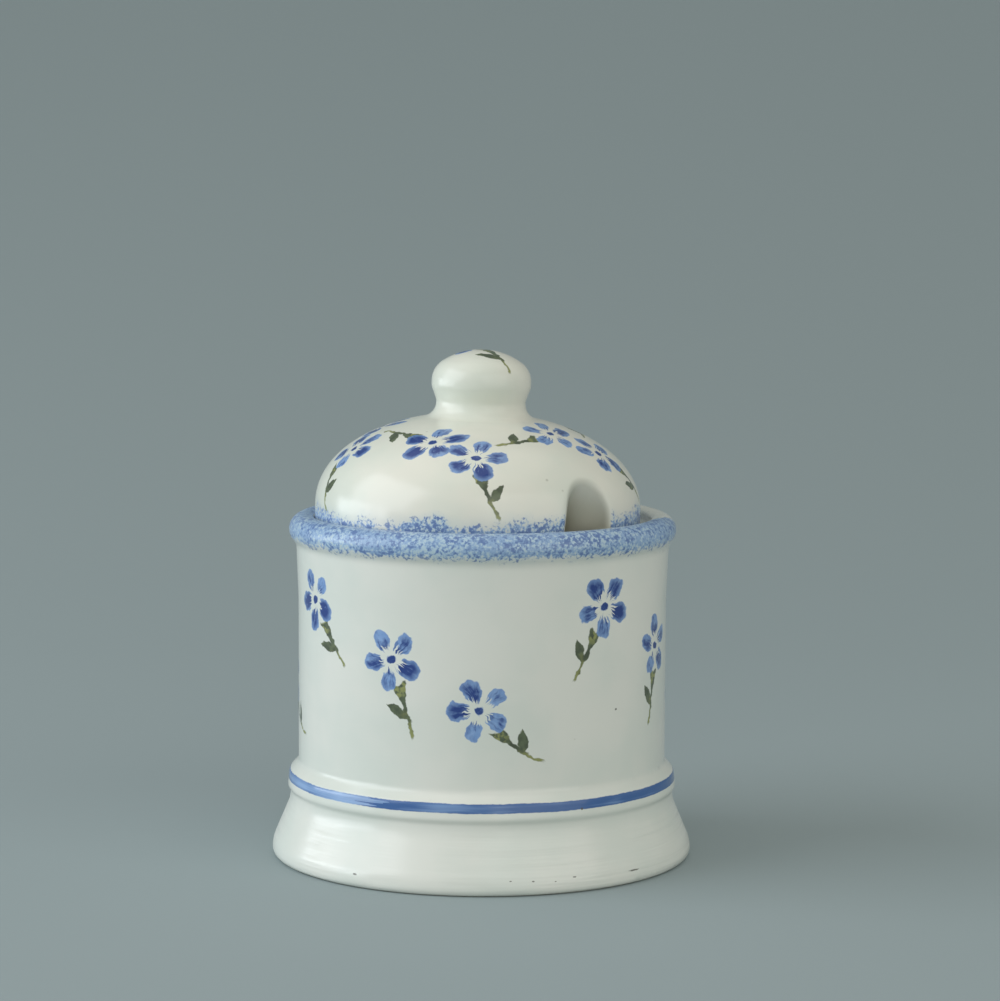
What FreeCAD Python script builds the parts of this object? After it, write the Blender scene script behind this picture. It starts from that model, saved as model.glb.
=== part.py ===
import FreeCAD, Part
import math
import os

# A small covered jam pot in glazed earthenware: a straight-sided pot on a flared foot, and a
# domed lid with a knob and a fluted notch for a spoon handle. Millimetres, +Z up, the origin
# at the middle of the footprint on the table, -Y the side that faces the viewer.

V = FreeCAD.Vector
os.makedirs("parts", exist_ok=True)

# ---- driving sizes of the pot ----
foot_r = 47.45          # widest part of the flared foot
foot_edge = 3.1         # height of the upright edge under the flare
foot_round = 1.6        # rounding where that edge meets the table
pot_h = 77.4            # table to the top of the rim
body_r = 41.52          # outside of the straight body
wall = 4.1              # thickness of the body wall
floor_t = 5.2           # thickness of the floor above the recess under the pot
recess = 1.8            # depth of the recess under the foot
ring_w = 6.0            # width of the ring the pot stands on
band_z = 18.0           # middle height of the raised moulding that carries the painted band
band_h = 3.6            # height of that moulding
band_out = 2.45         # how far the moulding stands out from the body
waist_in = 0.7          # depth of the hollow line under the moulding
rim_r = 43.6            # outside of the rolled rim
rim_roll = 3.4          # radius of the roll
rim_flare = 0.5         # how far the body opens out under the rim
rim_tuck = 2.3          # radius of the hollow under the roll
gallery_r = 37.9        # inside of the rim, above the ledge
ledge_drop = 3.0        # from the top of the rim down to the ledge
ledge_w = 4.1           # width of the ledge

# ---- driving sizes of the lid ----
lid_play = 1.4          # clearance round the lid: flange to ledge
lid_gap = 1.25          # clearance between the edge of the lid and the gallery
lid_slide = 0.8         # share of the clearance the lid has slid, towards -X
dome_h = 25.7           # rest face to the crown of the dome, under the knob
dome_full = 2.1         # fullness of the dome: 2 is an ellipse, more is fuller shoulders
dome_skirt = 4.4        # straight part of the edge of the lid, below the dome
lid_wall = 3.6          # thickness of the dome
flange_h = 4.0          # depth of the locating flange below the rest face
flange_w = 3.0          # thickness of the flange
knob_r = 11.2           # widest part of the knob
knob_top = 39.9         # rest face to the top of the knob
knob_cap = 7.1          # height of the domed cap above the widest part
neck_r = 10.05          # neck under the knob
lid_tilt = 1.4          # the dome dried a little out of true: degrees, high on the -X side
flute_r = 6.5           # radius of the fluted notch for the spoon handle
flute_az = 42.6         # direction of the notch, degrees from -Y towards +X
flute_in = 7.9          # how deep the notch cuts in from the edge of the lid, at the rest face
flute_lean = 20.0       # outward lean of the notch, degrees
flute_wall = 3.2        # thickness of the wall behind the notch
lip_round = 1.7         # rounding of the lips of the notch


# ---- helpers ----
def rounded(corners):
    """Edges of an open outline in the XZ plane through (r, z, radius) corners, each corner
    turned into a tangent arc of its radius, or of a smaller one where the sides are short."""
    pts = [V(c[0], 0, c[1]) for c in corners]
    last = len(pts) - 1
    half, back = [0.0] * len(pts), [0.0] * len(pts)
    for i in range(1, last):
        half[i] = (pts[i - 1] - pts[i]).getAngle(pts[i + 1] - pts[i]) / 2
        back[i] = (corners[i][2] if len(corners[i]) > 2 else 0) / math.tan(half[i])
    for i in range(last):
        side = pts[i].distanceToPoint(pts[i + 1])
        if back[i] + back[i + 1] > side:
            fit = 0.99 * side / (back[i] + back[i + 1])
            back[i], back[i + 1] = back[i] * fit, back[i + 1] * fit
    edges, start = [], pts[0]
    for i in range(1, last + 1):
        end = pts[i]
        if not back[i]:
            if start.distanceToPoint(end) > 1e-6:
                edges.append(Part.makeLine(start, end))
            start = end
            continue
        a = (pts[i - 1] - end).normalize()
        b = (pts[i + 1] - end).normalize()
        rad = back[i] * math.tan(half[i])
        t1, t2 = end + a * back[i], end + b * back[i]
        mid = end + (a + b).normalize() * (rad / math.sin(half[i]) - rad)
        if start.distanceToPoint(t1) > 1e-6:
            edges.append(Part.makeLine(start, t1))
        edges.append(Part.Arc(t1, mid, t2).toShape())
        start = t2
    return edges


def dome_line(a, b, z, full):
    """A smooth quarter curve in the XZ plane from (a, z) up to (0, z + b)."""
    n = 14
    pts = []
    for i in range(n + 1):
        t = math.pi / 2 * i / n
        pts.append(V(a * math.cos(t) ** (2 / full), 0, z + b * math.sin(t) ** (2 / full)))
    pts[-1].x = 0
    curve = Part.BSplineCurve()
    curve.interpolate(Points=pts, InitialTangent=V(0, 0, 1), FinalTangent=V(-1, 0, 0))
    return [curve.toShape()]


def vault(a, b, z, side):
    """Two tangent arcs from (a, z) up to (0, z + b), the lower one of radius side."""
    top = ((a - side) ** 2 + b ** 2 - side ** 2) / (2 * (b - side))
    c1, c2 = V(a - side, 0, z), V(0, 0, z + b - top)
    lean = (c1 - c2).getAngle(V(0, 0, 1))
    knee = math.pi / 2 - lean

    def on(c, r, ang):
        return c + V(math.cos(ang), 0, math.sin(ang)) * r

    return [Part.Arc(on(c1, side, 0), on(c1, side, knee / 2), on(c1, side, knee)).toShape(),
            Part.Arc(on(c2, top, knee), on(c2, top, (knee + math.pi / 2) / 2),
                     on(c2, top, math.pi / 2)).toShape()]


def turned(edges):
    """The solid turned about the Z axis from a closed outline."""
    wire = Part.Wire(Part.__sortEdges__(edges))
    solid = Part.Face(wire).revolve(V(0, 0, 0), V(0, 0, 1), 360)
    return solid if solid.Volume > 0 else solid.reversed()


def one_solid(shape):
    """The single solid of a boolean result."""
    shape = shape.removeSplitter()
    assert len(shape.Solids) == 1, len(shape.Solids)
    return shape.Solids[0]


# ---- pot ----
in_r = body_r - wall
ledge_r = gallery_r - ledge_w
ledge_z = pot_h - ledge_drop
roll_z = pot_h - rim_roll                       # centre height of the roll
band_r = body_r + band_out
band_lo, band_hi = band_z - band_h / 2, band_z + band_h / 2 - 0.5
waist_r = band_r - waist_in
flank_z = 12.5
flank_r = waist_r + 0.2
under_r = body_r + rim_flare                    # body just under the roll
under_dz = math.sqrt((rim_roll + rim_tuck) ** 2 - (under_r + rim_tuck - rim_r + rim_roll) ** 2)
under_turn = math.asin(under_dz / (rim_roll + rim_tuck))
roll_lo = roll_z - rim_roll * math.tan(under_turn / 2)
under_z = roll_lo - (rim_r - under_r) / math.tan(under_turn)
pot = turned(rounded([
    (0, recess),
    (foot_r - ring_w, recess, 0.8),
    (foot_r - ring_w, 0, 0.8),
    (foot_r, 0, foot_round),
    (foot_r, foot_edge, 7.0),
    (flank_r, flank_z, 7.0),
    (waist_r, band_lo - 1.3, 0.8),
    (band_r, band_lo - 0.3, 0.7),
    (band_r - 0.4, band_hi, 0.9),
    (body_r, band_hi + 2.2, 1.3),
    (body_r - 0.02, 0.75 * pot_h, 80.0),
    (under_r, under_z, rim_tuck),
    (rim_r, roll_lo, rim_roll),
    (rim_r, pot_h, rim_roll),
    (gallery_r + 1.2, pot_h, rim_roll),
    (gallery_r, pot_h - 0.85, 0.5),
    (gallery_r, ledge_z, 0.8),
    (ledge_r, ledge_z, 0.8),
    (ledge_r, ledge_z - 1.8, 0.8),
    (in_r, ledge_z - 1.8 - (in_r - ledge_r) * 1.3, 3.0),
    (in_r, recess + floor_t, 8.0),
    (0, recess + floor_t),
    (0, recess),
]))
pot = one_solid(pot)

# ---- lid ----
lid_r = gallery_r - lid_gap
flange_r = ledge_r - lid_play
in_flange = flange_r - flange_w
skirt_z = ledge_z + dome_skirt
rise = dome_h - dome_skirt
low_z = ledge_z - flange_h

spare_z = low_z - 3.0
dome = turned(dome_line(lid_r, rise, skirt_z, dome_full) + [
    Part.makeLine(V(lid_r, 0, skirt_z), V(lid_r, 0, spare_z)),
    Part.makeLine(V(lid_r, 0, spare_z), V(0, 0, spare_z)),
    Part.makeLine(V(0, 0, spare_z), V(0, 0, skirt_z + rise))])

cap_z = ledge_z + knob_top - knob_cap
knob = turned(vault(knob_r, knob_cap, cap_z, 0.47 * knob_r) + rounded([
    (knob_r, cap_z),
    (knob_r, cap_z - 1.2, 2.5),
    (neck_r, cap_z - 4.4, 1.5),
    (neck_r, skirt_z + rise / 2),
    (0, skirt_z + rise / 2),
    (0, cap_z + knob_cap),
]))
crown = one_solid(dome.fuse(knob))


def near(edge, test):
    n = 7
    a, b = edge.ParameterRange
    return all(test(edge.valueAt(a + (b - a) * i / (n - 1))) for i in range(n))


def at_neck(p):
    return abs(math.hypot(p.x, p.y) - neck_r) < 0.05 and p.z < cap_z - 6


crown = crown.makeFillet(3.4, [e for e in crown.Edges
                               if e.Length > 2 and near(e, at_neck)])


def flute(radius):
    """A round bar along the notch, leaning outwards."""
    far = 60.0
    az, lean = math.radians(flute_az), math.radians(flute_lean)
    out = V(math.sin(az), -math.cos(az), 0)
    axis = out * math.sin(lean) + V(0, 0, 1) * math.cos(lean)
    mid = out * (lid_r - flute_in + flute_r / math.cos(lean)) + V(0, 0, ledge_z)
    return Part.makeCylinder(radius, 2 * far, mid - axis * far, axis)


notch = flute(flute_r)
lid = one_solid(crown.cut(notch))


def at_lip(p):
    up = max(p.z - skirt_z, 0) / rise
    return abs((math.hypot(p.x, p.y) / lid_r) ** dome_full + up ** dome_full - 1) < 0.004


lips = [e for e in lid.Edges if near(e, at_lip) and
        e.BoundBox.ZLength > 1 and e.distToShape(notch)[0] < 1e-3 and
        near(e, lambda p: notch.isInside(p, 0.02, True))]
lid = lid.makeFillet(lip_round, lips)


def tilt(shape):
    shape = shape.copy()
    shape.rotate(V(0, 0, skirt_z), V(0, 1, 0), lid_tilt)
    return shape


# the underside is level: rest face, flange and the foot of the flange
under = turned(rounded([
    (0, low_z),
    (flange_r, low_z, 0.6),
    (flange_r, ledge_z, 0.5),
    (lid_r + 0.2, ledge_z, 1.6),
    (lid_r + 0.2, ledge_z + 2.2),
    (lid_r + 8, ledge_z + 2.2),
    (lid_r + 8, spare_z - 3),
    (0, spare_z - 3),
    (0, low_z),
]))
hollow = turned(vault(lid_r - lid_wall, rise - lid_wall, skirt_z, 0.8 * (rise - lid_wall)) + rounded([
    (lid_r - lid_wall, skirt_z),
    (lid_r - lid_wall, skirt_z - 1.2, 1.0),
    (in_flange, ledge_z + 0.6, 1.0),
    (in_flange, low_z - 1),
    (0, low_z - 1),
    (0, skirt_z + rise - lid_wall),
]))
lid = tilt(lid).cut(under).cut(hollow.cut(tilt(flute(flute_r + flute_wall))))
lid = one_solid(lid)
lid.translate(V(-lid_slide * lid_play, 0, 0))

for name, solid in (("pot", pot), ("lid", lid)):
    assert solid.isValid(), name
    solid.exportStep("parts/%s.step" % name)
    print(name, "volume cm3 %.1f" % (solid.Volume / 1000), "faces", len(solid.Faces),
          "z %.2f to %.2f" % (solid.BoundBox.ZMin, solid.BoundBox.ZMax))
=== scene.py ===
import math
from functools import partial
from types import SimpleNamespace

import bmesh
import bpy
from mathutils import Matrix, Vector


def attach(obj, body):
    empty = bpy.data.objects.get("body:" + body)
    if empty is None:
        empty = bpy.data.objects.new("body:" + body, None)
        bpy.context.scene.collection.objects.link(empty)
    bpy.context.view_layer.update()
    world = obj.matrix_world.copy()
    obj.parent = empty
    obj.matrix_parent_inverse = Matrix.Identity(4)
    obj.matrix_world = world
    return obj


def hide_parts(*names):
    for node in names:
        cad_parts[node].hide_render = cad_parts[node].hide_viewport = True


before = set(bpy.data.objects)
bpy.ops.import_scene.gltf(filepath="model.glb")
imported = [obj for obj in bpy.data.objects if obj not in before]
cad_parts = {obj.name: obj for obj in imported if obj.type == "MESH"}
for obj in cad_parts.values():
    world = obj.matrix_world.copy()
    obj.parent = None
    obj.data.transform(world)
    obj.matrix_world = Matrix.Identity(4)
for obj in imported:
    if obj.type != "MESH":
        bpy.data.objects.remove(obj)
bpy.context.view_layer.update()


# ---------------------------------------------------------------------------
# Painted sprig: a five-petal flower with a stem and one leaf, brushed by hand on the raw glaze
# in cobalt blue and olive green. Every sprig on the pot and the lid is this one node group.
# ---------------------------------------------------------------------------
def srgb(code):
    """A hex colour as linear RGBA."""
    rgb = [int(code[i:i + 2], 16) / 255 for i in (0, 2, 4)]
    return [c / 12.92 if c < 0.04045 else ((c + 0.055) / 1.055) ** 2.4 for c in rgb] + [1.0]


def add(tree, kind, *ins, out=0, **settings):
    """Adds a shader node. kind is its type and, after a space, its mode. ins are sockets, numbers
    and vectors in the order of its inputs, or one dict of them by name or place. Returns the
    output of that place, or all of them for out=None."""
    kind, _, mode = kind.partition(" ")
    node = tree.nodes.new(kind if kind.startswith("Node") else "ShaderNode" + kind)
    if mode:
        key = {"MapRange": "interpolation_type", "Mix": "data_type"}.get(kind, "operation")
        settings[key] = mode
    for key, value in settings.items():
        setattr(node, key, value)
    for key, value in (ins[0].items() if ins and isinstance(ins[0], dict) else enumerate(ins)):
        if isinstance(value, bpy.types.NodeSocket):
            tree.links.new(value, node.inputs[key])
        elif value is not None:
            node.inputs[key].default_value = value
    return node.outputs[:] if out is None or not node.outputs else node.outputs[out]


petals = 5
head_up = 5.5                       # mm from the middle of the sprig up to the heart of the head
heart_r = 1.0                       # the dot in the middle
petal_at, petal_half, petal_wide = 4.05, 3.05, 1.92    # middle, half length, half width
stem_top, stem_long = -2.2, 15.5    # from the heart down
leaf_at, leaf_half, leaf_turn = -13.2, 3.1, 0.75
wander = 1.6                        # how far an unsteady hand strays, mm


def sprig_group():
    """X and Y are millimetres from the middle of the sprig, the stem hangs towards -Y. Gives the
    cover of blue and green, where the blue is dark and where the green is pale."""
    g = bpy.data.node_groups.new("painted sprig", "ShaderNodeTree")
    for names, way in ((("X", "Y", "Seed"), "INPUT"), (("Blue", "Green", "Dark", "Tip"), "OUTPUT")):
        for name in names:
            g.interface.new_socket(name, in_out=way, socket_type="NodeSocketFloat")
    put = partial(add, g)
    x0, y0, seed = put("NodeGroupInput", out=None)[:3]
    y0 = put("Math SUBTRACT", y0, head_up)
    here = put("CombineXYZ", x0, y0, put("Math MULTIPLY", seed, 37.0))

    # every edge wanders a little with the hand
    stray_x = put("TexNoise", here, None, 0.55, 2.0)
    stray_y = put("TexNoise", put("VectorMath ADD", here, (31.0, 7.0, 3.0)), None, 0.55, 2.0)
    x = put("Math ADD", x0, put("Math MULTIPLY", put("Math SUBTRACT", stray_x, 0.5), wander))
    y = put("Math ADD", y0, put("Math MULTIPLY", put("Math SUBTRACT", stray_y, 0.5), wander))

    # petals: one dab of the brush, repeated round the heart, each a little larger or smaller
    turn = put("Math ADD", put("Math ARCTAN2", x, y), put("Math MULTIPLY", seed, 6.283))
    rho = put("Math SQRT", put("Math ADD", put("Math MULTIPLY", x, x), put("Math MULTIPLY", y, y)))
    index = put("Math ROUND", put("Math DIVIDE", turn, 2 * math.pi / petals))
    local = put("Math SUBTRACT", turn, put("Math MULTIPLY", index, 2 * math.pi / petals))
    along = put("Math MULTIPLY", rho, put("Math COSINE", local))
    across = put("Math MULTIPLY", rho, put("Math SINE", local))
    pick = put("TexWhiteNoise", put("CombineXYZ", put("Math FLOORED_MODULO", index, float(petals)),
                                    seed, 0.0), noise_dimensions="3D")
    size = put("Math ADD", 0.88, put("Math MULTIPLY", pick, 0.24))
    # the dab is round at the tip and narrow towards the heart
    mid = put("Math DIVIDE", put("Math SUBTRACT", along, petal_at),
              put("Math MULTIPLY", size, petal_half))
    half = put("Math MULTIPLY", size, put("Math ADD", petal_wide, put("Math MULTIPLY", mid, 0.7)))
    side = put("Math DIVIDE", across, put("Math MAXIMUM", half, 0.2))
    edge = put("Math SQRT", put("Math ADD", put("Math MULTIPLY", mid, mid),
                                put("Math MULTIPLY", side, side)))
    # bristle lines run out of the petal towards the heart
    comb = put("CombineXYZ", put("Math MULTIPLY", rho, 0.16), put("Math MULTIPLY", local, 5.5),
               put("Math ADD", index, seed))
    comb = put("TexNoise", comb, None, 1.5, 2.0)
    inner = put("Math MULTIPLY", put("Math SUBTRACT", comb, 0.5), 5.5)
    inner = put("MapRange SMOOTHSTEP", put("Math ADD", along, inner), 2.9, 2.3)
    petal = put("Math MULTIPLY", put("MapRange SMOOTHSTEP", edge, 1.04, 0.93),
                put("Math SUBTRACT", 1.0, inner))
    heart = put("MapRange SMOOTHSTEP", rho, heart_r + 0.15, heart_r - 0.15)
    blue = put("Math MAXIMUM", petal, heart)
    # dark where the loaded brush was laid down, paler in streaks and at the fringe
    load = put("Math MULTIPLY", put("TexNoise", here, None, 0.42, 3.0), 0.75)
    load = put("Math ADD", put("Math MULTIPLY", comb, 0.75), load)
    load = put("Math ADD", load, put("Math MULTIPLY", put("Math SUBTRACT", pick, 0.5), 0.3))
    dark = put("MapRange SMOOTHSTEP", load, 0.5, 0.88)
    fringe = put("Math MULTIPLY", put("MapRange SMOOTHSTEP", edge, 0.5, 1.0), 0.75)
    dark = put("Math MULTIPLY", dark, put("Math SUBTRACT", 1.0, fringe))
    dark = put("Math MINIMUM", put("Math ADD", dark, put("Math MULTIPLY", heart, 0.8)), 1.0)

    # stem: a bent stroke, full under the head and thin at the end
    down = put("Math SUBTRACT", stem_top, y)
    t = put("Math DIVIDE", down, stem_long)
    bend = put("Math SUBTRACT", put("Math MULTIPLY", seed, 7.0), 2.5)
    bend = put("Math MULTIPLY", put("Math MULTIPLY", t, t), bend)
    off = put("Math ABSOLUTE", put("Math SUBTRACT", x, bend))
    width = put("Math POWER", put("Math MAXIMUM", put("Math SUBTRACT", 1.0, t), 0.0), 1.6)
    width = put("Math ADD", 0.3, put("Math MULTIPLY", width, 0.6))
    cup = put("Math MULTIPLY", put("MapRange SMOOTHSTEP", down, 8.2, 3.6), 0.85)
    width = put("Math ADD", width, cup)
    ends = put("Math ADD", down, put("Math MULTIPLY", off, 0.5))
    ends = put("MapRange SMOOTHSTEP", ends, 3.6, 4.0)
    ends = put("Math MULTIPLY", ends, put("MapRange SMOOTHSTEP", t, 1.02, 0.97))
    stem = put("MapRange SMOOTHSTEP", put("Math SUBTRACT", off, width), 0.16, -0.1)
    stem = put("Math MULTIPLY", stem, ends)
    # one leaf, on either side of the stem
    flip = put("Math MULTIPLY", put("Math GREATER_THAN", seed, 0.5), 2.0)
    flip = put("Math SUBTRACT", flip, 1.0)
    lx = put("Math MULTIPLY", put("Math SUBTRACT", x, bend), flip)
    ly = put("Math SUBTRACT", y, leaf_at)
    c, s = math.cos(leaf_turn), math.sin(leaf_turn)
    lu = put("Math ADD", put("Math MULTIPLY", lx, s), put("Math MULTIPLY", ly, c))
    lv = put("Math SUBTRACT", put("Math MULTIPLY", lx, c), put("Math MULTIPLY", ly, s))
    lt = put("Math DIVIDE", put("Math SUBTRACT", lu, 3.0), leaf_half)
    lw = put("Math MULTIPLY", put("Math SUBTRACT", 1.0, put("Math MULTIPLY", lt, lt)),
             put("Math SUBTRACT", 1.05, put("Math MULTIPLY", lt, 0.35)))
    leaf = put("Math SUBTRACT", put("Math ABSOLUTE", lv), lw)
    leaf = put("Math MULTIPLY", put("MapRange SMOOTHSTEP", leaf, 0.1, -0.12),
               put("Math LESS_THAN", put("Math ABSOLUTE", lt), 1.0))
    green = put("Math MAXIMUM", stem, leaf)
    # the green is pale at the end of the stem and in spots under the head
    tip = put("Math MULTIPLY", put("Math SUBTRACT", stray_x, 0.5), 0.7)
    tip = put("MapRange SMOOTHSTEP", put("Math ADD", t, tip), 0.62, 0.95)
    spots = put("MapRange SMOOTHSTEP", put("TexNoise", here, None, 0.8, 2.0), 0.45, 0.6)
    spots = put("Math MULTIPLY", put("MapRange SMOOTHSTEP", down, 7.5, 5.0), spots)
    put("NodeGroupOutput", blue, green, dark, put("Math MAXIMUM", tip, spots))
    return g


sprig = sprig_group()


# ---------------------------------------------------------------------------
# Glaze: a dipped, glossy, off-white earthenware glaze over white clay. It gives the eye sharp
# reflections, painted colours that look wet and edges that are rounded over. The rims are
# dabbed with a sponge of cobalt. All of it is laid out in mm on Object coordinates.
# ---------------------------------------------------------------------------
def glaze(name, tints, slide, sprigs, rim, finish):
    """slide is how far along X the piece sits. sprigs gives the place of each sprig, rim how far
    a point lies inside the sponged part, and finish what only this piece has."""
    mat = bpy.data.materials.new(name)
    mat.use_nodes = True
    mat.node_tree.nodes.clear()
    put = partial(add, mat.node_tree)

    mm = put("VectorMath MULTIPLY", put("TexCoord", out=3), (1000,) * 3)
    mm = put("VectorMath SUBTRACT", mm, (slide, 0, 0))
    x, y, z = put("SeparateXYZ", mm, out=None)
    ang = put("Math ARCTAN2", x, put("Math MULTIPLY", y, -1.0))
    r = put("Math SQRT", put("Math ADD", put("Math MULTIPLY", x, x), put("Math MULTIPLY", y, y)))
    at = SimpleNamespace(mm=mm, x=x, y=y, z=z, ang=ang, r=r)

    # off-white ground, cooler where the glaze lies thick, with a few pinholes
    thick = put("TexNoise", mm, None, 0.045, 3.0)
    ground = put("Mix RGBA", {0: put("MapRange SMOOTHSTEP", thick, 0.35, 0.68),
                              6: srgb(tints[0]), 7: srgb(tints[1])}, out=2)
    hole = put("TexVoronoi", {"Vector": mm, "Scale": 0.16, "Randomness": 1.0})
    hole = put("Math MULTIPLY", put("MapRange SMOOTHSTEP", hole, 0.075, 0.03),
               put("MapRange SMOOTHSTEP", put("TexNoise", mm, None, 0.11), 0.6, 0.63))
    ground = put("Mix RGBA", {0: put("Math MULTIPLY", hole, 0.4), 6: ground, 7: srgb("8f8a76")},
                 out=2)

    # sprigs: cobalt from a pale wash to a full load, and olive stems
    blue = green = dark = tip = 0.0
    for place in sprigs(put, at):
        b, gr, dk, tp = put("Group", *place, out=None, node_tree=sprig)
        blue, green = put("Math MAXIMUM", blue, b), put("Math MAXIMUM", green, gr)
        dark = put("Math MAXIMUM", dark, put("Math MULTIPLY", dk, b))
        tip = put("Math MAXIMUM", tip, put("Math MULTIPLY", tp, gr))
    wash = put("TexNoise", mm, None, 0.7, 3.0)
    petal = put("Mix RGBA", {0: wash, 6: srgb("9dbbe2"), 7: srgb("5f8ac8")}, out=2)
    petal = put("Mix RGBA", {0: dark, 6: petal, 7: srgb("0a3682")}, out=2)
    olive = put("Mix RGBA", {0: put("MapRange SMOOTHSTEP", wash, 0.35, 0.65),
                             6: srgb("3b4731"), 7: srgb("566345")}, out=2)
    olive = put("Mix RGBA", {0: tip, 6: olive, 7: srgb("8f9455")}, out=2)
    colour = put("Mix RGBA", {0: put("Math MULTIPLY", green, 0.95), 6: ground, 7: olive}, out=2)
    colour = put("Mix RGBA", {0: put("Math MULTIPLY", blue, 0.97), 6: colour, 7: petal}, out=2)

    # sponging: a grain of about half a millimetre in mid and deep blue over a pale veil,
    # breaking up at its border
    at.fine = put("TexNoise", mm, None, 1.9, 3.0, 0.6)
    pores = put("VectorMath MULTIPLY", put("TexNoise", mm, None, 1.6, out=1), (1.1,) * 3)
    pores = put("TexVoronoi", {"Vector": put("VectorMath ADD", mm, pores), "Scale": 1.35},
                feature="SMOOTH_F1")
    at.blot = put("TexNoise", mm, None, 0.3, 2.0)
    at.patch = put("TexNoise", mm, None, 0.085, 2.0)
    grain = put("Math ADD", put("Math MULTIPLY", at.fine, 0.62), put("Math MULTIPLY", pores, 0.5))
    inside, cover, load = rim(put, at)
    sponge = put("Math ADD", grain, put("Math MULTIPLY", cover, 0.5))
    sponge = put("Math MULTIPLY", put("MapRange SMOOTHSTEP", sponge, 0.7, 0.86),
                 put("MapRange SMOOTHSTEP", cover, 0.02, 0.3))
    deep = put("Math MULTIPLY", put("Math SUBTRACT", at.blot, 0.5), 0.35)
    deep = put("Math ADD", put("Math ADD", grain, deep),
               put("MapRange SMOOTHSTEP", inside, 1.5, 6.0, 0.0, load))
    deep = put("MapRange SMOOTHSTEP", deep, 0.53, 0.7)
    pale = put("Math MULTIPLY", put("Math SUBTRACT", at.patch, 0.5), 0.3)
    pale = put("Math SUBTRACT", put("Math SUBTRACT", grain, pale), put(
        "Math MULTIPLY", put("MapRange SMOOTHSTEP", inside, 3.4, 0.6), 0.09))
    pale = put("Math MULTIPLY", put("MapRange SMOOTHSTEP", pale, 0.5, 0.4), 0.75)
    sponge = put("Math MULTIPLY", sponge, put("MapRange SMOOTHSTEP", cover, 0.0, 0.55, 0.45, 1.0))
    dabs = put("Mix RGBA", {0: deep, 6: srgb("8faed2"), 7: srgb("5776ad")}, out=2)
    dabs = put("Mix RGBA", {0: pale, 6: dabs, 7: srgb("bed4dc")}, out=2)
    colour = put("Mix RGBA", {0: put("Math MULTIPLY", cover, 0.45), 6: colour, 7: srgb("a9c3d6")},
                 out=2)
    colour = put("Mix RGBA", {0: put("Math MULTIPLY", sponge, 0.93), 6: colour, 7: dabs}, out=2)

    # the surface swells and sinks a little, and the sponged part is less glossy
    height = put("Math ADD", put("Math MULTIPLY", put("TexNoise", mm, None, 0.09, 2.0), 0.5),
                 put("Math MULTIPLY", at.fine, 0.008))
    colour, height, gloss = finish(put, at, colour, height)
    gloss = put("Math ADD", gloss, put("Math ADD", put("Math MULTIPLY", thick, 0.06),
                                       put("Math MULTIPLY", sponge, 0.16)))
    # the glaze pooled in the corners and rounds every edge a little
    soft = put("Bevel", 0.0012, samples=6)
    bump = put("Bump", {"Height": height, "Strength": 1.0, "Distance": 0.0002, "Normal": soft})
    put("OutputMaterial", put("BsdfPrincipled", {"Base Color": colour, "Roughness": gloss,
                                                 "IOR": 1.5, "Normal": bump}))
    return mat


# ---------------------------------------------------------------------------
# Pot: thrown in white earthenware, with a rolled rim, a raised moulding and a flared foot. Sprigs
# climb round it in three loose rows, the band was painted with one brush on the turning pot, and
# the rim was sponged. The ring it stands on was wiped bare before the firing.
# ---------------------------------------------------------------------------
pot_sprig_rows = ((56.3, -0.95), (45.0, -0.42), (34.2, 0.11))    # height, first direction
pot_sprigs_round = 4
body_r = 41.5
roll_under = 71.0           # where the sponging fades out under the roll of the rim
rim_inner = 38.2            # inner edge of the rim
band_at, band_half = 18.45, 1.02
band_start = 0.54           # direction where the brush was set down
foot_top = 14.0
ring_inner = 41.4           # the bare standing ring starts here
# scuffs and grit spots: direction in degrees, height, half length and half depth
scuffs = ((-35, 3.1, 0.6, 0.3), (45, 3.1, 1.8, 0.2), (25.5, 3.6, 0.5, 0.17),
          (14, 3.3, 0.35, 0.15), (20, 3.0, 0.3, 0.13), (8, 3.5, 0.3, 0.13),
          (30, 17.5, 0.45, 0.35), (45, 37.8, 0.4, 0.3), (150, 9.0, 0.8, 0.4),
          (-118, 26.0, 0.4, 0.35), (205, 52.0, 0.5, 0.35))


def show(node, mat):
    """A copy of a CAD node that carries the material and stands for the node."""
    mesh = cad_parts[node].data.copy()
    mesh.materials.clear()
    mesh.materials.append(mat)
    obj = bpy.data.objects.new(node + "_glazed", mesh)
    bpy.context.scene.collection.objects.link(obj)
    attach(obj, "root")
    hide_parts(node)
    return obj


def pot_sprigs(put, at):
    for row, (height, start) in enumerate(pot_sprig_rows):
        pitch = 2 * math.pi / pot_sprigs_round
        turn = put("Math DIVIDE", put("Math SUBTRACT", at.ang, start), pitch)
        index = put("Math ROUND", turn)
        key = put("Math FLOORED_MODULO", index, float(pot_sprigs_round))
        pick = put("TexWhiteNoise", put("CombineXYZ", key, row + 2.0, 0.0), noise_dimensions="3D")
        shift = put("TexWhiteNoise", put("CombineXYZ", key, row + 7.0, 4.0), noise_dimensions="3D")
        u = put("Math MULTIPLY", put("Math SUBTRACT", turn, index), pitch * body_r)
        u = put("Math SUBTRACT", u, put("Math MULTIPLY", put("Math SUBTRACT", shift, 0.5), 4.0))
        v = put("Math MULTIPLY", put("Math SUBTRACT", pick, 0.5), 1.8)
        v = put("Math SUBTRACT", put("Math SUBTRACT", at.z, height), v)
        lean = put("Math MULTIPLY", put("Math SUBTRACT", shift, 0.5), 1.7)
        c, s = put("Math COSINE", lean), put("Math SINE", lean)
        yield (put("Math SUBTRACT", put("Math MULTIPLY", u, c), put("Math MULTIPLY", v, s)),
               put("Math ADD", put("Math MULTIPLY", u, s), put("Math MULTIPLY", v, c)), pick)


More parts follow.
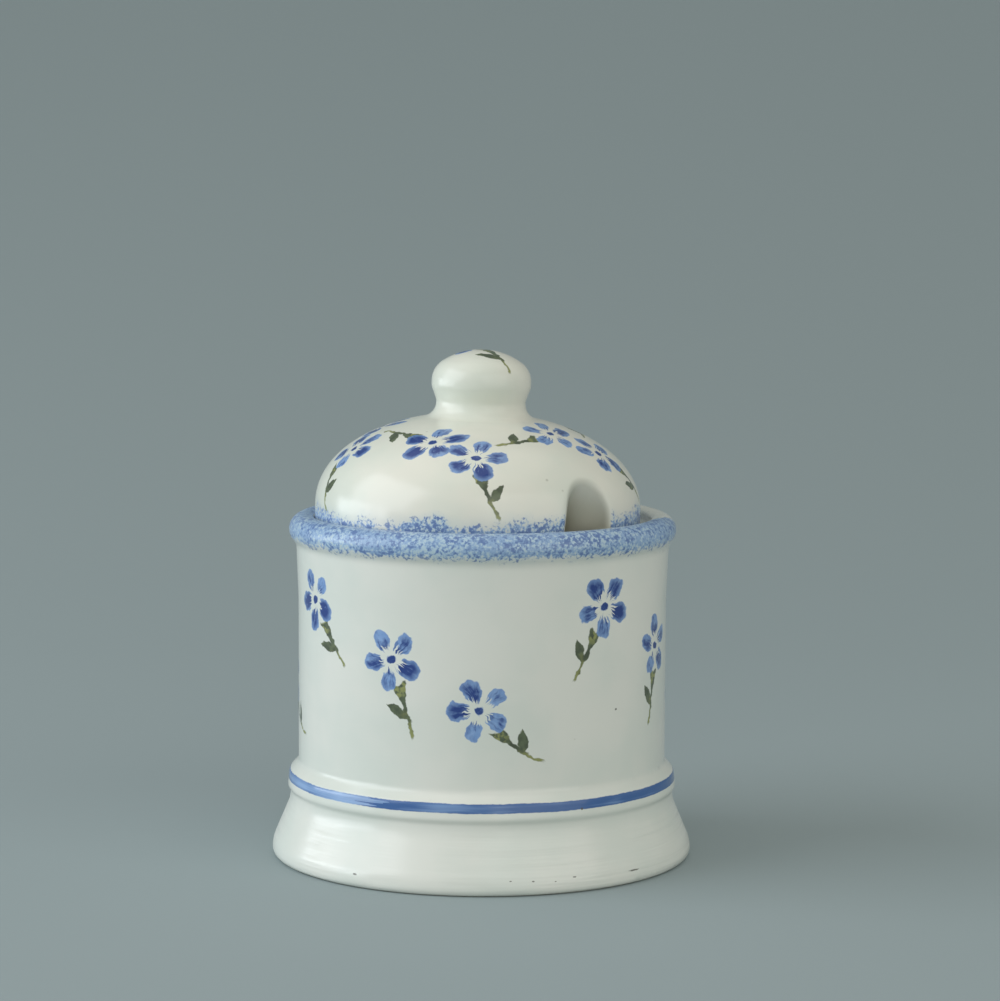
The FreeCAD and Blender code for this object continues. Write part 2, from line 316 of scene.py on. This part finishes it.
def pot_rim(put, at):
    """The sponging covers the roll, and leaves the top of the rim nearly bare at the back."""
    low = put("Math MULTIPLY", put("Math SUBTRACT", at.blot, 0.5), 2.6)
    low = put("Math ADD", put("Math SUBTRACT", at.z, roll_under), low)
    behind = put("Math ADD", put("Math MULTIPLY", at.y, 0.8), put("Math MULTIPLY", at.x, 0.25))
    behind = put("MapRange SMOOTHSTEP", behind, -2.0, 9.0)
    inner = put("Math ADD", rim_inner, put("Math MULTIPLY", behind, 3.4))
    inner = put("Math ADD", inner, put("Math MULTIPLY", put("Math SUBTRACT", at.blot, 0.5),
                                       put("Math MULTIPLY", behind, 3.0)))
    top = put("MapRange SMOOTHSTEP", put("Math SUBTRACT", at.r, inner), -0.2,
              put("Math ADD", 0.25, put("Math MULTIPLY", behind, 1.8)))
    return low, put("Math MULTIPLY", put("MapRange SMOOTHSTEP", low, -0.8, 3.4), top), 0.035


def pot_finish(put, at, colour, height):
    mm, x, y, z = at.mm, at.x, at.y, at.z
    # band: its middle wavers, its edges are ragged and long hairs of the brush show in it
    level = put("VectorMath MULTIPLY", mm, (1, 1, 0))
    wave = put("Math SUBTRACT", put("TexNoise", level, None, 0.07, 3.0), 0.5)
    far = put("Math SUBTRACT", put("Math ADD", z, put("Math MULTIPLY", wave, 0.5)), band_at)
    ragged = put("Math SUBTRACT", put("TexNoise", mm, None, 0.9, 2.0), 0.5)
    ragged = put("Math ADD", put("Math ABSOLUTE", far), put("Math MULTIPLY", ragged, 0.22))
    band = put("MapRange SMOOTHSTEP", ragged, band_half + 0.08, band_half - 0.08)
    hair = put("TexNoise", put("VectorMath MULTIPLY", mm, (0.05, 0.05, 1.0)), None, 1.1, 3.0, 0.55)
    tone = put("TexNoise", level, None, 0.028, 3.0, 0.65)
    # one stroke round the pot, loaded at its start and thin where it comes round again
    start = put("TexNoise", put("VectorMath MULTIPLY", mm, (0.02, 0.02, 1.0)), None, 2.2, 1.0)
    start = put("Math MULTIPLY", put("Math SUBTRACT", start, 0.5), 0.9)
    run = put("Math ADD", put("Math ADD", at.ang, band_start), start)
    run = put("Math FRACT", put("Math DIVIDE", run, 2 * math.pi))
    load = put("Math ADD", put("Math MULTIPLY", hair, 0.4), tone)
    load = put("Math ADD", load, put("Math SUBTRACT", 0.1, put(
        "Math MULTIPLY", put("Math POWER", run, 5.0), 0.3)))
    load = put("Math ADD", load, put("Math MULTIPLY", put(
        "MapRange SMOOTHSTEP", put("Math ABSOLUTE", far), 0.6, 1.0), 0.06))
    cobalt = put("Mix RGBA", {0: put("MapRange SMOOTHSTEP", load, 0.48, 0.82),
                              6: srgb("8fb0dc"), 7: srgb("2f5f9e")}, out=2)
    colour = put("Mix RGBA", {0: put("Math MULTIPLY", band, 0.96), 6: colour, 7: cobalt}, out=2)
    # throwing rings, plain on the foot and faint on the body
    rings = put("TexNoise", put("VectorMath MULTIPLY", mm, (0.035, 0.035, 1.0)), None, 0.5, 2.0)
    where = put("TexNoise", put("VectorMath MULTIPLY", mm, (1, 1, 0.6)), None, 0.06, 1.0)
    rings = put("Math MULTIPLY", put("Math SUBTRACT", rings, 0.5),
                put("MapRange SMOOTHSTEP", where, 0.35, 0.6))
    depth = put("MapRange SMOOTHSTEP", z, foot_top, foot_top - 5.0, 0.12, 2.0)
    height = put("Math ADD", height, put("Math MULTIPLY", rings, depth))
    for az, up, wide, tall in scuffs:
        c, s = math.cos(math.radians(az)), math.sin(math.radians(az))
        du = put("Math SUBTRACT", put("Math MULTIPLY", x, c), put("Math MULTIPLY", y, -s))
        ahead = put("Math SUBTRACT", put("Math MULTIPLY", x, s), put("Math MULTIPLY", y, c))
        ahead = put("Math GREATER_THAN", ahead, 0.0)
        du = put("Math DIVIDE", du, wide)
        dv = put("Math DIVIDE", put("Math SUBTRACT", z, up), tall)
        gap = put("Math SQRT", put("Math ADD", put("Math MULTIPLY", du, du),
                                   put("Math MULTIPLY", dv, dv)))
        gap = put("Math ADD", gap, put("Math MULTIPLY", put("Math SUBTRACT", at.fine, 0.5), 1.6))
        mark = put("Math MULTIPLY", put("MapRange SMOOTHSTEP", gap, 1.0, 0.6), ahead)
        colour = put("Mix RGBA", {0: put("Math MULTIPLY", mark, 0.8), 6: colour,
                                  7: srgb("4c4a40")}, out=2)
    # bare clay on the standing ring
    bare = put("Math MULTIPLY", put("MapRange SMOOTHSTEP", z, 0.22, 0.08),
               put("MapRange SMOOTHSTEP", at.r, ring_inner - 0.2, ring_inner + 0.2))
    colour = put("Mix RGBA", {0: bare, 6: colour, 7: srgb("cfc2a8")}, out=2)
    foot = put("MapRange SMOOTHSTEP", z, foot_top + 2.0, foot_top - 2.0)
    gloss = put("Math ADD", put("Math MULTIPLY", foot, 0.07),
                put("Math ADD", 0.11, put("Math MULTIPLY", bare, 0.6)))
    return colour, height, gloss


pot = show("pot", glaze("pot glaze", ("e7e8df", "dee3da"), 0.0, pot_sprigs, pot_rim, pot_finish))


# ---------------------------------------------------------------------------
# Lid: thrown in the same clay, with a knob drawn up from the dome, and a notch cut for the spoon
# while the clay was soft. Two loose rings of sprigs lie on the dome and one more over the knob,
# and its edge was sponged. Inside the notch the shade is painted in as a dark olive-brown.
# ---------------------------------------------------------------------------
lid_slide = -1.12           # the lid has slid this far along X in the rim
lid_rest, lid_r = 74.4, 36.65
dome_foot, dome_rise = 78.8, 21.3
lid_sprig_rings = ((12.5, 0.02, -0.35), (25.5, -0.62, 1.55))     # arc up the dome, direction, turn
lid_sprigs_round = 5
knob_x, knob_top, knob_foot = 0.9, 114.3, 101.0
knob_turn, knob_scale = 0.62, 0.98
notch_az, notch_lean = math.radians(42.6), math.radians(20.0)
notch_r, notch_in = 6.5, 7.9


def lid_sprigs(put, at):
    rise = put("Math ARCTAN2", put("Math DIVIDE", put("Math SUBTRACT", at.z, dome_foot), dome_rise),
               put("Math DIVIDE", at.r, lid_r))
    arc = put("Math MULTIPLY", put("Math SUBTRACT", 1.0, put("Math COSINE", rise)), 14.95)
    arc = put("Math ADD", put("Math MULTIPLY", rise, dome_rise), arc)
    for ring, (up, start, base) in enumerate(lid_sprig_rings):
        pitch = 2 * math.pi / lid_sprigs_round
        turn = put("Math DIVIDE", put("Math SUBTRACT", at.ang, start), pitch)
        index = put("Math ROUND", turn)
        key = put("Math FLOORED_MODULO", index, float(lid_sprigs_round))
        pick = put("TexWhiteNoise", put("CombineXYZ", key, ring + 11.0, 2.0), noise_dimensions="3D")
        u = put("Math MULTIPLY", put("Math SUBTRACT", turn, index), pitch)
        u, v = put("Math MULTIPLY", u, at.r), put("Math SUBTRACT", arc, up)
        lean = put("Math ADD", put("Math MULTIPLY", put("Math SUBTRACT", pick, 0.5), 0.9), base)
        c, s = put("Math COSINE", lean), put("Math SINE", lean)
        yield (put("Math SUBTRACT", put("Math MULTIPLY", u, c), put("Math MULTIPLY", v, s)),
               put("Math ADD", put("Math MULTIPLY", u, s), put("Math MULTIPLY", v, c)), pick)
    # one more over the top of the knob, measured along its surface and pushed off the dome
    kx = put("Math SUBTRACT", at.x, knob_x)
    level = put("Math SUBTRACT", knob_top, at.z)
    flat = put("Math ADD", put("Math MULTIPLY", kx, kx), put("Math MULTIPLY", at.y, at.y))
    kr = put("Math SQRT", flat)
    reach = put("Math MULTIPLY", put("Math MULTIPLY", level, level), 1.7)
    reach = put("Math SQRT", put("Math ADD", put("Math MULTIPLY", kr, kr), reach))
    away = put("Math MULTIPLY", put("Math LESS_THAN", at.z, knob_foot), 200.0)
    grow = put("Math DIVIDE", put("Math ADD", reach, away), put("Math MAXIMUM", kr, 0.01))
    kx, ky = put("Math MULTIPLY", kx, grow), put("Math MULTIPLY", at.y, grow)
    c, s = knob_scale * math.cos(knob_turn), knob_scale * math.sin(knob_turn)
    v = put("Math SUBTRACT", put("Math MULTIPLY", ky, c), put("Math MULTIPLY", kx, s))
    yield (put("Math ADD", put("Math MULTIPLY", kx, c), put("Math MULTIPLY", ky, s)),
           put("Math SUBTRACT", v, 0.2), 0.37)


def lid_rim(put, at):
    """The sponging runs round the lower edge of the lid, in uneven patches, up to the notch."""
    out = lid_r - notch_in + notch_r / math.cos(notch_lean)
    foot = (out * math.sin(notch_az), -out * math.cos(notch_az), lid_rest)
    axis = (math.sin(notch_az) * math.sin(notch_lean),
            -math.cos(notch_az) * math.sin(notch_lean), math.cos(notch_lean))
    off = put("VectorMath CROSS_PRODUCT", put("VectorMath SUBTRACT", at.mm, foot), axis)
    at.off_notch = put("VectorMath LENGTH", off, out=1)
    low = put("Math MULTIPLY", put("Math SUBTRACT", at.blot, 0.5), 3.0)
    low = put("Math ADD", put("Math SUBTRACT", dome_foot + 1.4, at.z), low)
    low = put("Math ADD", low, put("Math MULTIPLY", put("Math SUBTRACT", at.patch, 0.5), 9.0))
    cover = put("Math MULTIPLY", put("MapRange SMOOTHSTEP", low, -1.4, 3.6, 0.0, 0.8),
                put("MapRange SMOOTHSTEP", at.r, 31.5, 33.5))
    cover = put("Math MULTIPLY", cover, put(
        "MapRange SMOOTHSTEP", at.off_notch, notch_r + 0.2, notch_r + 1.1))
    return low, cover, 0.3


def lid_finish_and_notch_shade(put, at, colour, height):
    # painted shade in the notch: a dark olive-brown laid into the colour in place of the shade
    # inside it, strongest low down and on one side
    across = put("Math ADD", put("Math MULTIPLY", at.x, math.cos(notch_az)),
                 put("Math MULTIPLY", at.y, math.sin(notch_az)))
    notch_shade = put("Math MULTIPLY", put("MapRange SMOOTHSTEP", at.off_notch, 7.3, 6.3),
               put("MapRange SMOOTHSTEP", at.z, 91.0, 76.0, 0.1, 1.0))
    notch_shade = put("Math MULTIPLY", notch_shade, put("MapRange SMOOTHSTEP", across, 5.0, -5.5, 0.4, 1.0))
    return put("Mix RGBA", {0: notch_shade, 6: colour, 7: srgb("5e573d")}, out=2), height, 0.17


lid = show("lid", glaze("lid glaze", ("e9e7da", "dfe3d6"), lid_slide, lid_sprigs, lid_rim,
                        lid_finish_and_notch_shade))


# ---------------------------------------------------------------------------
# Studio: a plain pale sweep of matt paper, a large soft lamp from the left, a weak one above, a
# fill from the front, and two low bright panes at the left that show in the glaze. The panes
# light the ware only, and no lamp shows itself.
# ---------------------------------------------------------------------------
bend_at, bend_r = 0.3, 2.4          # the paper runs flat to here and then curves up, metres
paper_half, paper_front, paper_top = 3.5, -2.5, 4.0


def sweep():
    line = [(paper_front, 0.0), (bend_at, 0.0)]
    for step in range(1, 33):
        a = step * math.pi / 64
        line.append((bend_at + bend_r * math.sin(a), bend_r - bend_r * math.cos(a)))
    line.append((bend_at + bend_r, paper_top))
    bm = bmesh.new()
    rows = [[bm.verts.new((side * paper_half, a, b)) for side in (-1, 1)] for a, b in line]
    for p, q in zip(rows, rows[1:]):
        bm.faces.new((p[0], p[1], q[1], q[0]))
    mesh = bpy.data.meshes.new("sweep")
    bm.to_mesh(mesh)
    bm.free()
    for face in mesh.polygons:
        face.use_smooth = True
    obj = bpy.data.objects.new("sweep", mesh)
    bpy.context.scene.collection.objects.link(obj)
    paper = bpy.data.materials.new("paper")
    paper.use_nodes = True
    shader = paper.node_tree.nodes["Principled BSDF"]
    shader.inputs["Base Color"].default_value = srgb("a0adaf")
    shader.inputs["Roughness"].default_value = 0.9
    shader.inputs["Specular IOR Level"].default_value = 0.2
    mesh.materials.append(paper)


def lamp(name, at, aim, size, power, colour):
    data = bpy.data.lights.new(name, "AREA")
    data.shape = "RECTANGLE"
    data.size, data.size_y = size
    data.energy = power
    data.color = srgb(colour)[:3]
    obj = bpy.data.objects.new(name, data)
    obj.location = at
    obj.rotation_euler = (Vector(aim) - Vector(at)).to_track_quat("-Z", "Y").to_euler()
    obj.visible_camera = False
    bpy.context.scene.collection.objects.link(obj)
    return obj


sweep()
lamp("key", (-1.15, -0.3, 0.72), (0, 0, 0.06), (1.3, 1.0), 9.4, "f2f8ff")
lamp("top", (0.0, 0.0, 1.6), (0, 0, 0.05), (1.6, 1.6), 3.2, "fff6e8")
lamp("fill", (0.9, -1.3, 0.7), (0, 0, 0.06), (2.0, 1.5), 9.6, "fffcf6")

ware = bpy.data.collections.new("lit by the panes")
for obj in (pot, lid):
    ware.objects.link(obj)
pane_x, pane_z, pane_tall, pane_power = -0.8, 0.115, 0.21, 12.0     # power in watts a square metre
for name, y0, y1 in (("pane near", -0.385, -0.215), ("pane far", -0.195, 0.355)):
    mid = (y0 + y1) / 2
    pane = lamp(name, (pane_x, mid, pane_z), (0, mid, pane_z), (y1 - y0, pane_tall),
                pane_power * (y1 - y0) * pane_tall, "f2f8ff")
    pane.light_linking.receiver_collection = ware

world = bpy.data.worlds.new("room")
world.use_nodes = True
world.node_tree.nodes["Background"].inputs["Color"].default_value = srgb("eaeeec")
world.node_tree.nodes["Background"].inputs["Strength"].default_value = 0.46
bpy.context.scene.world = world
bpy.context.scene.view_settings.view_transform = "Standard"


# ---------------------------------------------------------------------------
# Camera: a little above the pot, looking down at it from the front, with a long lens.
# ---------------------------------------------------------------------------
camera = bpy.data.cameras.new("camera")
camera.sensor_width = 36
camera.lens = 113.71
camera.clip_start = 0.01
look_down, roll = math.radians(6.15), math.radians(0.29)
eye = bpy.data.objects.new("camera", camera)
eye.matrix_world = (Matrix.Translation((0.00387, -0.7089, 0.1566))
                    @ Matrix.Rotation(math.pi / 2 - look_down, 4, "X")
                    @ Matrix.Rotation(roll, 4, "Z"))
bpy.context.scene.collection.objects.link(eye)
bpy.context.scene.camera = eye
